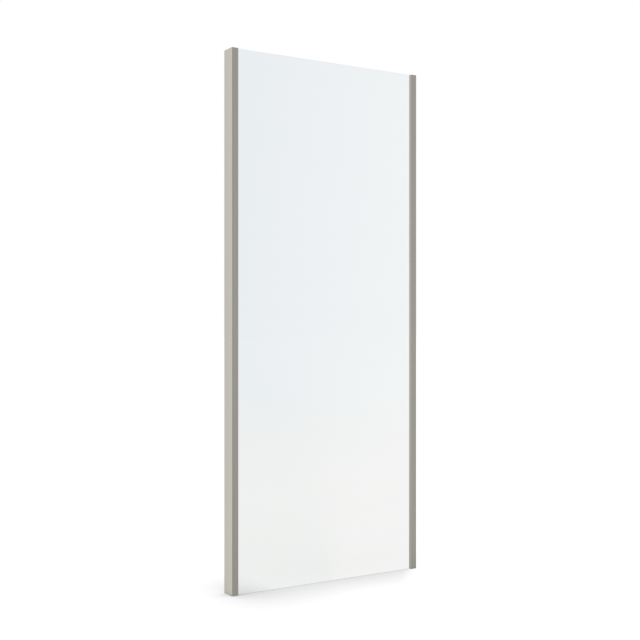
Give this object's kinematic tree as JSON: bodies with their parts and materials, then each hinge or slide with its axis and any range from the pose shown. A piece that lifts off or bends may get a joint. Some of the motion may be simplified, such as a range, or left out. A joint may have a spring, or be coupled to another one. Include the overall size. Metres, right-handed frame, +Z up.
{
  "type": "pull-out closet mirror",
  "caption": "Tall framed mirror on telescopic slides that pulls out along a wardrobe's side panel and swivels to face the room.",
  "frame": {"origin": "middle of the bottom of the closed mirror, half way through its whole depth", "axes": "+X along the mirror's width away from the pull edge, +Y towards the wardrobe's side panel, +Z up; the glass faces -Y"},
  "size_m": [0.5, 0.059, 1.2],
  "materials": {
    "anodised_profile": "satin anodised in a warm nickel tone, fine vertical extrusion grain",
    "mill_aluminium": "mill-finish extrusion",
    "silvered_glass": "silvered float glass with ground edges",
    "safety_film": "adhesive safety film with a woven back",
    "lacquered_board": "hardboard with a thin matt lacquer",
    "zinc_steel": "bright zinc plate",
    "coated_steel": "fine-texture powder coat",
    "slide_steel": "zinc-plated, roll-formed",
    "ball_steel": "polished bearing steel",
    "fastener_steel": "zinc plate",
    "nylon": "moulded nylon",
    "rubber": "moulded rubber",
    "ferrite": "sintered ferrite"
  },
  "bodies": {
    "cabinet_members": {"slide_buffer_lower": "rubber", "slide_buffer_upper": "rubber", "slide_outer_lower": "slide_steel", "slide_outer_upper": "slide_steel"},
    "carrier": {"catch_housing": "nylon", "catch_magnet": "ferrite", "catch_screws": "fastener_steel", "fixed_leaf_screws": "fastener_steel", "front_upright": "coated_steel", "hinge_leaf_fixed_lower": "zinc_steel", "hinge_leaf_fixed_upper": "zinc_steel", "hinge_pin_lower": "fastener_steel", "hinge_pin_upper": "fastener_steel", "hinge_washers": "nylon", "rear_upright": "coated_steel", "slide_inner_lower": "slide_steel", "slide_inner_upper": "slide_steel", "slide_screws": "fastener_steel"},
    "mirror": {"back_panel": "lacquered_board", "bracket_bottom_left": "zinc_steel", "bracket_bottom_right": "zinc_steel", "bracket_middle_left": "zinc_steel", "bracket_middle_right": "zinc_steel", "bracket_screws": "fastener_steel", "bracket_top_left": "zinc_steel", "bracket_top_right": "zinc_steel", "end_cap_bottom_left": "anodised_profile", "end_cap_bottom_right": "anodised_profile", "end_cap_top_left": "anodised_profile", "end_cap_top_right": "anodised_profile", "glass_setting_pads": "rubber", "hinge_leaf_moving_lower": "zinc_steel", "hinge_leaf_moving_upper": "zinc_steel", "mirror_glass": "silvered_glass", "moving_leaf_screws": "fastener_steel", "profile_left": "anodised_profile", "profile_right": "anodised_profile", "rail_bottom": "mill_aluminium", "rail_middle": "mill_aluminium", "rail_screws": "fastener_steel", "rail_top": "mill_aluminium", "safety_film": "safety_film", "strike_plate": "zinc_steel", "strike_screws": "fastener_steel"},
    "middle_lower": {"slide_middle_lower": "slide_steel"},
    "middle_upper": {"slide_middle_upper": "slide_steel"},
    "cage_outer_lower": {"balls_outer_lower": "ball_steel", "cage_outer_lower": "slide_steel"},
    "cage_outer_upper": {"balls_outer_upper": "ball_steel", "cage_outer_upper": "slide_steel"},
    "cage_inner_lower": {"balls_inner_lower": "ball_steel", "cage_inner_lower": "slide_steel"},
    "cage_inner_upper": {"balls_inner_upper": "ball_steel", "cage_inner_upper": "slide_steel"}
  },
  "joints": [
    {"name": "mirror_slide", "type": "slide", "parent": "cabinet_members", "child": "carrier", "axis": [-1, 0, 0], "range_m": [0, 0.45]},
    {"name": "mirror_swivel", "type": "hinge", "parent": "carrier", "child": "mirror", "pos_m": [-0.238, 0.01265, 0.6], "axis": [0, 0, -1], "range_deg": [0, 90]},
    {"name": "middle_slide_lower", "type": "slide", "parent": "cabinet_members", "child": "middle_lower", "axis": [-1, 0, 0], "range_m": [0, 0.225]},
    {"name": "outer_cage_slide_lower", "type": "slide", "parent": "cabinet_members", "child": "cage_outer_lower", "axis": [-1, 0, 0], "range_m": [0, 0.1125]},
    {"name": "inner_cage_slide_lower", "type": "slide", "parent": "cabinet_members", "child": "cage_inner_lower", "axis": [-1, 0, 0], "range_m": [0, 0.3375]},
    {"name": "middle_slide_upper", "type": "slide", "parent": "cabinet_members", "child": "middle_upper", "axis": [-1, 0, 0], "range_m": [0, 0.225]},
    {"name": "outer_cage_slide_upper", "type": "slide", "parent": "cabinet_members", "child": "cage_outer_upper", "axis": [-1, 0, 0], "range_m": [0, 0.1125]},
    {"name": "inner_cage_slide_upper", "type": "slide", "parent": "cabinet_members", "child": "cage_inner_upper", "axis": [-1, 0, 0], "range_m": [0, 0.3375]}
  ],
  "couplings": [
    {"joint": "middle_slide_lower", "follows": "mirror_slide", "ratio": 0.5},
    {"joint": "outer_cage_slide_lower", "follows": "mirror_slide", "ratio": 0.25},
    {"joint": "inner_cage_slide_lower", "follows": "mirror_slide", "ratio": 0.75},
    {"joint": "middle_slide_upper", "follows": "mirror_slide", "ratio": 0.5},
    {"joint": "outer_cage_slide_upper", "follows": "mirror_slide", "ratio": 0.25},
    {"joint": "inner_cage_slide_upper", "follows": "mirror_slide", "ratio": 0.75}
  ]
}
